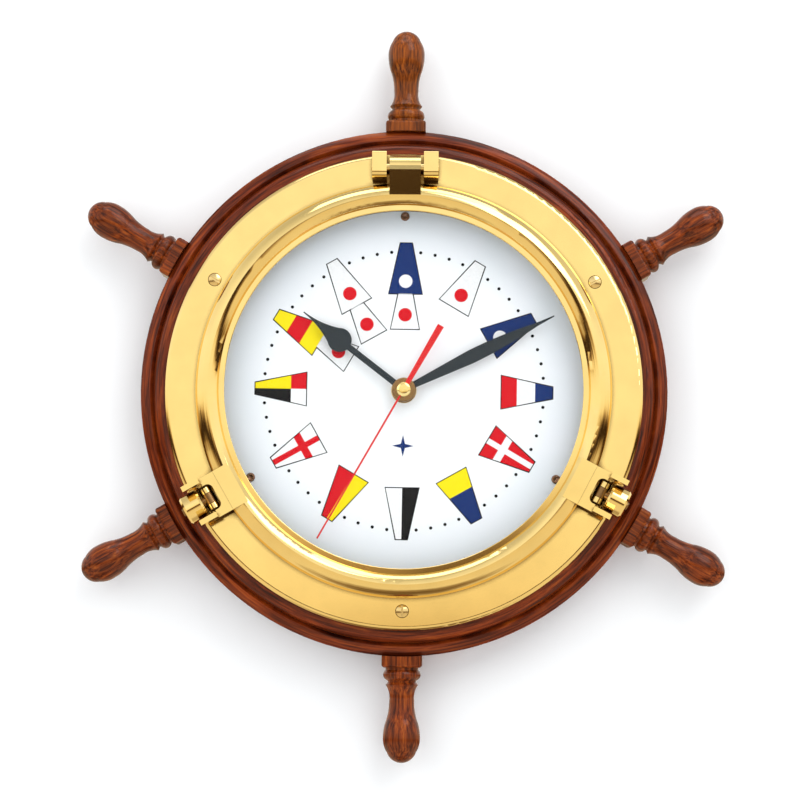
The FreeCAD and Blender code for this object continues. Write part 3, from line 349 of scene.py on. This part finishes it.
def print_ink(name, colour):
    look = Look(name, IOR=1.12)
    cloud = look.noise(look.place(), 0.9, 3.0)
    look.set("Base Color", look.ramp(cloud, [(0.3, scaled(colour, 0.90)), (0.7, colour)]))
    look.set("Roughness", look.span(cloud, 0.36, 0.50))
    return look.material


def enamel(name, colour, rough=0.30):
    look = Look(name, Coat_Weight=0.25, Coat_Roughness=0.12, IOR=1.2)
    cloud = look.noise(look.place(), 0.5, 3.0)
    look.set("Base Color", look.ramp(cloud, [(0.25, scaled(colour, 0.82)), (0.75, colour)]))
    look.set("Roughness", look.span(cloud, rough * 0.85, rough * 1.2))
    return look.material


def moulded(name, colour, rough):
    """Plastic or rubber with a fine moulded texture."""
    look = Look(name)
    fine = look.noise(look.place(), 1.4, 5.0, 0.7)
    look.set("Base Color", look.ramp(fine, [(0.3, scaled(colour, 0.85)), (0.7, colour)]))
    look.set("Roughness", look.span(fine, rough * 0.85, rough * 1.1))
    look.bump(fine, 0.25, 0.04, edge=0.25)
    return look.material


def plated_steel(name):
    look = Look(name, Metallic=1.0)
    brushed = look.noise(look.place((1, 0.15, 1)), 2.2, 4.0, 0.6)
    look.set("Base Color", look.ramp(brushed, [(0.3, grey(0.42)), (0.7, grey(0.60))]))
    look.set("Roughness", look.span(brushed, 0.28, 0.46))
    look.bump(brushed, 0.1, 0.02, edge=0.15)
    return look.material


def wound_wire(name):
    """Enamelled wire wound round the coil's long axis."""
    look = Look(name, Metallic=0.85)
    turns = look.add("ShaderNodeTexWave", {
        "Vector": look.place(), "Scale": 1.3, "Distortion": 0.3,
    }, bands_direction="X")
    # The colour darkens in the troughs of the wave bands: painted shade in the grooves between turns.
    look.set("Base Color", look.ramp(turns, [(0.2, (0.22, 0.06, 0.02)), (0.8, (0.62, 0.24, 0.09))]))
    look.set("Roughness", look.span(turns, 0.3, 0.5))
    look.bump(turns, 0.6, 0.1)
    return look.material


def clear_glass(name):
    """Flat glass that lets shadow and diffuse light straight through."""
    look = Look(name, Transmission_Weight=1.0, IOR=1.18, Roughness=0.0)
    smear = look.noise(look.place(), 0.03, 2.0)
    look.set("Base Color", look.ramp(smear, [(0.3, (0.97, 0.99, 0.98)), (0.7, (1.0, 1.0, 1.0))]))
    path = look.add("ShaderNodeLightPath")
    indirect = look.math("MAXIMUM", path.outputs["Is Shadow Ray"], path.outputs["Is Diffuse Ray"])
    clear = look.add("ShaderNodeBsdfTransparent")
    both = look.add("ShaderNodeMixShader", {0: indirect, 1: look.shader, 2: clear})
    look.feed(look.tree.nodes["Material Output"].inputs["Surface"], both)
    return look.material


RED = (0.66, 0.006, 0.015)
NAVY = (0.008, 0.030, 0.15)
YELLOW = (0.92, 0.74, 0.008)
WHITE = (0.86, 0.86, 0.87)
BLACK = (0.006, 0.006, 0.008)

BRASS = polished_brass("polished_brass", dark_recesses=True)
CAP_BRASS = polished_brass("cap_brass")
# Dark brown brass: the hand nut's own aged tone, and painted shade on the dog bolts and pins, standing
# for the dark of the slots they sit in.
AGED_AND_SHADED_BRASS = polished_brass("aged_and_shaded_brass", (0.30, 0.17, 0.07), 0.28, 0.15)
TURNED_BRASS = polished_brass("turned_brass", (0.88, 0.66, 0.30), 0.18, 0.15)
SLOT_MATERIALS = {
    "wood": varnished_wood("ring_wood"),
    "brass": BRASS,
    "brass_fastener": TURNED_BRASS,
    "glass": clear_glass("window_glass"),
    "black_rubber": moulded("black_rubber", grey(0.025), 0.7),
    "dial_white": dial_white("dial_face"),
    "hand_black": enamel("hand_black", (0.018, 0.026, 0.034)),
    "hand_red": enamel("hand_red", (0.70, 0.015, 0.018)),
    "bronze_screw": polished_brass("antiqued_bronze", (0.20, 0.10, 0.06), 0.30, 0.1),
    "black_plastic": moulded("case_plastic", grey(0.022), 0.45),
    "white_plastic": moulded("gear_plastic", (0.78, 0.77, 0.72), 0.35),
    "steel": plated_steel("zinc_plated_steel"),
    "copper_wire": wound_wire("copper_winding"),
    "green_board": enamel("solder_mask", (0.02, 0.16, 0.06)),
    "cell_jacket": enamel("cell_jacket", (0.05, 0.055, 0.07), 0.25),
}
# Nodes in the dark brass: the hand nut for its aged tone, the dog bolts and pins as painted shade in
# their slots.
DARK_BRASS_NODES = ("hand_nut", "left_dog_bolt", "right_dog_bolt", "left_dog_pin", "right_dog_pin")
INKS = {
    name: print_ink(f"ink_{name}", colour)
    for name, colour in (
        ("red", RED), ("navy", NAVY), ("yellow", YELLOW), ("white", WHITE), ("black", BLACK),
    )
}


def dress_nodes():
    """Give every carried-over node the material of its slot, and each handle its own grain."""
    for entry in frame["record"]["subparts"]:
        mesh = nodes[entry["node"]].data
        slot = entry["material_slot"]
        mesh.materials.clear()
        if slot == "handle_wood":
            number = HANDLE_HOURS[int(entry["node"].split("_")[1]) - 1]
            warmth = 1.0 if number == 12 else 0.25
            wood = varnished_wood(f"handle_wood_{number}", 30 * number, 17.0 * number, warmth)
            mesh.materials.append(wood)
        elif entry["node"] in DARK_BRASS_NODES:
            mesh.materials.append(AGED_AND_SHADED_BRASS)
        else:
            mesh.materials.append(SLOT_MATERIALS[slot])


# ---------------------------------------------------------------- dial print

class Pennant:
    """A pennant printed on the dial, wide end towards the centre."""

    def __init__(self, hour, near, far, near_width, far_width):
        self.hour = hour
        self.near, self.far = near, far
        self.near_half, self.far_half = near_width / 2, far_width / 2
        self.place = turned(30 * hour + DIAL_TURN)

    def point(self, across, along):
        """A point from -1 to 1 across the pennant, and from 0 to 1 along it."""
        half = self.near_half + (self.far_half - self.near_half) * along
        return (across * half, self.near + (self.far - self.near) * along)

    def field(self, ink, left, right, start, stop, layer):
        corners = [(left, start), (right, start), (right, stop), (left, stop)]
        return inked(ink, [self.point(*corner) for corner in corners], layer, self.place)

    def stripe(self, ink, width, layer):
        """A stripe of one width down the middle of the pennant."""
        half = width / 2
        corners = [(-half, self.near), (half, self.near), (half, self.far), (-half, self.far)]
        return inked(ink, corners, layer, self.place)

    def border(self, line, layer=0):
        """A black pennant that shows as a thin line round the colours."""
        low, high = self.near - line, self.far + line
        near, far = self.near_half + line, self.far_half + line
        return inked("black", [(-near, low), (near, low), (far, high), (-far, high)], layer, self.place)

    def dot(self, ink, along, radius, layer):
        return inked(ink, arc((0, along), radius, 0, 345, 23), layer, self.place)


def inked(ink, outline, layer, place):
    """One patch of ink, in a layer of the print."""
    low = DIAL_FRONT + 0.01 + layer * PRINT
    return plate(f"print_{ink}", outline, low, low + PRINT, place, INKS[ink])


# distances of a pennant's near and far ends from the centre, and its width at each
OUTER = (50.2, 76.3, 17.0, 5.7)
INNER = (31.9, 50.2, 14.5, 7.2)


def outer_pennant(hour):
    """The pennant of the hour's last digit."""
    flag = Pennant(hour, *OUTER)
    fields = {
        1: [("white", -1, 1, 0, 1)],
        2: [("navy", -1, 1, 0, 1)],
        3: [("red", -1, 1, 0, 0.30), ("white", -1, 1, 0.30, 0.66), ("navy", -1, 1, 0.66, 1)],
        4: [("red", -1, 1, 0, 1)],
        5: [("yellow", -1, 1, 0, 0.38), ("navy", -1, 1, 0.38, 1)],
        6: [("black", -1, 0, 0, 1), ("white", 0, 1, 0, 1)],
        7: [("yellow", -1, 0, 0, 1), ("red", 0, 1, 0, 1)],
        8: [("white", -1, 1, 0, 1)],
        9: [("red", 0, 1, 0, 0.30), ("yellow", 0, 1, 0.30, 1), ("white", -1, 0, 0, 0.30),
            ("black", -1, 0, 0.30, 1)],
        10: [("yellow", -1, 1, 0, 0.33), ("red", -1, 1, 0.33, 0.66), ("yellow", -1, 1, 0.66, 1)],
        11: [("white", -1, 1, 0, 1)],
        12: [("navy", -1, 1, 0, 1)],
    }[hour]
    patches = [flag.border(BORDER)] + [flag.field(*field, 1) for field in fields]
    if hour in (1, 11):
        patches.append(flag.dot("red", 57.4, DISC, 2))
    if hour in (2, 12):
        patches.append(flag.dot("white", 56.6, DISC, 2))
    if hour in (4, 8):
        ink = "white" if hour == 4 else "red"
        patches.append(flag.field(ink, -1, 1, 0.27, 0.42, 2))
        patches.append(flag.stripe(ink, 2.9, 2.2))
    return patches


def inner_pennant(hour):
    """The small pennant that stands for the ten in 10, 11 and 12."""
    flag = Pennant(hour, *INNER)
    return [
        flag.border(BORDER, -0.5), flag.field("white", -1, 1, 0, 1, 0), flag.dot("red", 39.2, DISC, 1),
    ]


def minute_dots():
    return [
        inked("black", arc((0, MINUTE_RING), MINUTE_DOT, 0, 330, 11), 0, turned(6 * minute + DIAL_TURN))
        for minute in range(60) if minute % 5
    ]


def compass_star():
    """A plain four-pointed star below the centre."""
    outline = []
    for quarter in range(4):
        for angle, radius in ((90 * quarter, STAR_POINT), (90 * quarter + 45, STAR_WAIST)):
            radians = math.radians(angle)
            outline.append((radius * math.cos(radians), -STAR_CENTRE + radius * math.sin(radians)))
    return [inked("navy", outline, 0, turned(DIAL_TURN))]


def dial_print():
    """All the print, as one piece of each ink."""
    patches = minute_dots() + compass_star()
    for hour in range(1, 13):
        patches += outer_pennant(hour)
    for hour in (10, 11, 12):
        patches += inner_pennant(hour)
    sorted_patches = {
        ink: [patch for patch in patches if patch.data.materials[0] == INKS[ink]] for ink in INKS
    }
    for ink, same in sorted_patches.items():
        whole = join(f"dial_print_{ink}", same)
        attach(whole, "clock")


# ---------------------------------------------------------------- hands and small fittings

def mirrored(right_side):
    """A closed outline from the points of its right side, listed from the foot to the tip."""
    return right_side + [(-x, y) for x, y in reversed(right_side)]


def second_hand():
    """A thin red blade with a wider tail, under a small brass cap."""
    low = back("second_hand")
    tail = [(1.75, -SWEEP_TAIL), (1.2, -SWEEP_HUB)]
    pointer = tail + arc((0, 0), SWEEP_HUB, -70, 80, 12) + [(0.5, SWEEP_HUB), (0.42, SWEEP_TIP)]
    blade = plate("second_hand_blade", mirrored(pointer), low, low + 0.4, turned(SWEEP_HAND_ANGLE),
                  SLOT_MATERIALS["hand_red"])
    soften(blade, 0.1)
    cap_top = front("second_hand")
    cap = lathe("second_hand_cap", [
        (0, low + 0.3), (3.7, low + 0.3), (3.8, low + 0.45), (3.8, low + 0.62),
        (3.3, cap_top - 0.22), (2.2, cap_top - 0.06), (0, cap_top),
    ], 64, CAP_BRASS)
    for piece, slot in ((blade, "hand_red"), (cap, "brass")):
        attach(piece, "second")
    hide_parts("second_hand")


def dial_screw_heads():
    """Small antiqued heads with a hollow centre, in place of the plain ones."""
    head = front("dial_screws") - DIAL_FRONT
    outline = [
        (0, -DIAL_SCREW_DEPTH), (1.15, -DIAL_SCREW_DEPTH), (1.15, 0.03), (2.3, 0.03),
        (2.3, 0.35 * head), (2.0, 0.85 * head), (1.55, head), (1.15, 0.9 * head),
        (0.85, 0.35 * head), (0, 0.3 * head),
    ]
    heads = []
    for hour in DIAL_SCREW_HOURS:
        centre = Vector((0, DIAL_SCREW_CIRCLE, DIAL_FRONT)) * MM
        place = turned(30 * hour) @ Matrix.Translation(centre)
        heads.append(lathe("dial_screw", outline, 32, SLOT_MATERIALS["bronze_screw"], place))
    whole = join("dial_screw_heads", heads)
    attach(whole, "clock")
    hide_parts("dial_screws")


# ---------------------------------------------------------------- stage, lights and camera

def stage_plane(name, centre, right, up, colour, one_sided=False):
    """A plain rectangular sheet that isn't part of the clock."""
    corners = [centre - right - up, centre + right - up, centre + right + up, centre - right + up]
    mesh = bpy.data.meshes.new(name)
    mesh.from_pydata(corners, [], [[0, 1, 2, 3]])
    sheet = bpy.data.objects.new(name, mesh)
    bpy.context.scene.collection.objects.link(sheet)
    look = Look(name, Roughness=0.9, Specular_IOR_Level=0.1)
    cloud = look.noise(look.place(), 0.004, 2.0)
    look.set("Base Color", look.ramp(cloud, [(0.3, scaled(colour, 0.99)), (0.7, colour)]))
    if one_sided:
        facing = look.add("ShaderNodeNewGeometry")
        clear = look.add("ShaderNodeBsdfTransparent")
        both = look.add("ShaderNodeMixShader", {
            0: facing.outputs["Backfacing"], 1: look.shader, 2: clear,
        })
        look.feed(look.tree.nodes["Material Output"].inputs["Surface"], both)
    mesh.materials.append(look.material)
    return sheet


FLOOR_DROP = 0.16               # metres, as the rest of the stage
STAGE_HALF_WIDTH = 4
WALL_HALF_HEIGHT = 2
WALL_GAP = 0.004


def stage():
    """A floor below the clock, and a wall behind it that is clear from the back."""
    floor_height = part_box("handle_4")[0].z - FLOOR_DROP
    across = Vector((STAGE_HALF_WIDTH, 0, 0))
    floor_middle = Vector((0, 0, floor_height))
    floor = stage_plane("floor", floor_middle, across, Vector((0, STAGE_HALF_WIDTH, 0)), grey(0.86))
    wall_middle = Vector((0, WALL_GAP, WALL_HALF_HEIGHT + floor_height))
    upward = Vector((0, 0, WALL_HALF_HEIGHT))
    wall = stage_plane("wall", wall_middle, across, upward, grey(0.93), one_sided=True)
    floor.visible_glossy = False
    for ray in ("shadow", "diffuse", "glossy", "transmission"):
        setattr(wall, f"visible_{ray}", False)


def lamp(name, place, target, size, power, shows=True):
    """A rectangular light; one that doesn't show is left out of reflections."""
    light = bpy.data.lights.new(name, "AREA")
    light.shape = "RECTANGLE"
    light.size, light.size_y = size
    light.energy = power
    made = bpy.data.objects.new(name, light)
    made.location = place
    made.rotation_euler = (Vector(target) - Vector(place)).to_track_quat("-Z", "Y").to_euler()
    made.visible_glossy = shows
    bpy.context.scene.collection.objects.link(made)


ROOM_STOPS = (
    # height of the direction from -1 (straight down) to 1 (straight up), and what is seen there
    (-1.0, (0.16, 0.10, 0.05)), (-0.93, (0.34, 0.25, 0.15)), (-0.82, (0.80, 0.70, 0.52)),
    (-0.28, (0.78, 0.66, 0.46)), (-0.20, (0.30, 0.19, 0.09)), (-0.155, (0.035, 0.018, 0.008)),
    (-0.095, (0.035, 0.018, 0.008)), (-0.06, (0.16, 0.09, 0.04)), (-0.03, (0.62, 0.44, 0.24)),
    (0.0, (0.96, 0.84, 0.60)),
    (0.06, (1.0, 0.95, 0.80)), (0.30, (1.0, 0.98, 0.92)), (0.75, (0.62, 0.60, 0.56)),
    (1.0, (0.45, 0.44, 0.42)),
)


ROOM_STRENGTH = 1.15            # of the room that polished surfaces mirror
EVEN_STRENGTH = 0.92            # of the light that falls on everything else
SWAY = (-0.035, 0.02)           # how far the room's bands wander up and down


def world_light():
    """Even light for the diffuse surfaces; for the polished ones, a room dark just below level."""
    world = bpy.data.worlds.new("room")
    world.use_nodes = True
    tree = world.node_tree
    spot = tree.nodes.new("ShaderNodeTexCoord")
    waves = tree.nodes.new("ShaderNodeTexNoise")
    waves.inputs["Scale"].default_value = 7.0
    waves.inputs["Detail"].default_value = 1.0
    split = tree.nodes.new("ShaderNodeSeparateXYZ")
    sway = tree.nodes.new("ShaderNodeMapRange")
    sway.inputs["From Min"].default_value, sway.inputs["From Max"].default_value = 0.3, 0.7
    sway.inputs["To Min"].default_value, sway.inputs["To Max"].default_value = SWAY
    height = tree.nodes.new("ShaderNodeMath")
    rise = tree.nodes.new("ShaderNodeMapRange")
    rise.inputs["From Min"].default_value = -1
    ramp = tree.nodes.new("ShaderNodeValToRGB")
    while len(ramp.color_ramp.elements) < len(ROOM_STOPS):
        ramp.color_ramp.elements.new(0.5)
    for element, (level, colour) in zip(ramp.color_ramp.elements, ROOM_STOPS):
        element.position = (level + 1) / 2
        element.color = (*colour, 1)
    path = tree.nodes.new("ShaderNodeLightPath")
    seen = tree.nodes.new("ShaderNodeBackground")
    seen.inputs["Strength"].default_value = ROOM_STRENGTH
    even = tree.nodes.new("ShaderNodeBackground")
    even.inputs["Color"].default_value = (0.95, 0.98, 1.0, 1)
    even.inputs["Strength"].default_value = EVEN_STRENGTH
    both = tree.nodes.new("ShaderNodeMixShader")
    links = (
        (spot.outputs["Generated"], waves.inputs["Vector"]),
        (spot.outputs["Generated"], split.inputs[0]),
        (waves.outputs["Fac"], sway.inputs["Value"]),
        (split.outputs["Z"], height.inputs[0]),
        (sway.outputs[0], height.inputs[1]),
        (height.outputs[0], rise.inputs["Value"]),
        (rise.outputs[0], ramp.inputs["Fac"]),
        (ramp.outputs["Color"], seen.inputs["Color"]),
        (path.outputs["Is Glossy Ray"], both.inputs[0]),
        (even.outputs[0], both.inputs[1]),
        (seen.outputs[0], both.inputs[2]),
        (both.outputs[0], tree.nodes["World Output"].inputs["Surface"]),
    )
    for source, socket in links:
        tree.links.new(source, socket)
    bpy.context.scene.world = world


def lights():
    """A key light from the upper right, a fill from the left and a soft one from above."""
    world_light()
    lamp("key", (1.0, -1.5, 1.5), (0, 0, 0), (1.4, 1.4), 16)
    lamp("fill", (-1.6, -1.6, 0.9), (0, 0, 0), (1.6, 1.6), 10, shows=False)
    lamp("top", (0, -0.5, 1.7), (0, 0, 0), (1.6, 0.8), 8)


CAMERA_DISTANCE = 1.268
CAMERA_ELEVATION = -4.9         # degrees; the camera is a little below the clock
CAMERA_SIDE = 0.6               # degrees towards 3 o'clock
CAMERA_ROLL = 0.45
CAMERA_LENS = 111.3
CAMERA_TARGET = Vector((-0.0019, -0.028, -0.0051))


def camera():
    """A long lens, almost straight in front of the clock."""
    data = bpy.data.cameras.new("camera")
    data.lens = CAMERA_LENS
    data.sensor_width = 36
    data.dof.use_dof = False
    made = bpy.data.objects.new("camera", data)
    tilt, side = math.radians(CAMERA_ELEVATION), math.radians(CAMERA_SIDE)
    away = Vector((math.sin(side) * math.cos(tilt), -math.cos(side) * math.cos(tilt), math.sin(tilt)))
    made.location = CAMERA_TARGET + away * CAMERA_DISTANCE
    aim = (-away).to_track_quat("-Z", "Y").to_matrix()
    made.rotation_euler = (aim @ Matrix.Rotation(math.radians(CAMERA_ROLL), 3, "Z")).to_euler()
    bpy.context.scene.collection.objects.link(made)
    bpy.context.scene.camera = made


# ---------------------------------------------------------------- the whole picture

dress_nodes()
dial_print()
second_hand()
dial_screw_heads()
stage()
lights()
camera()
bpy.context.scene.view_settings.view_transform = "Standard"
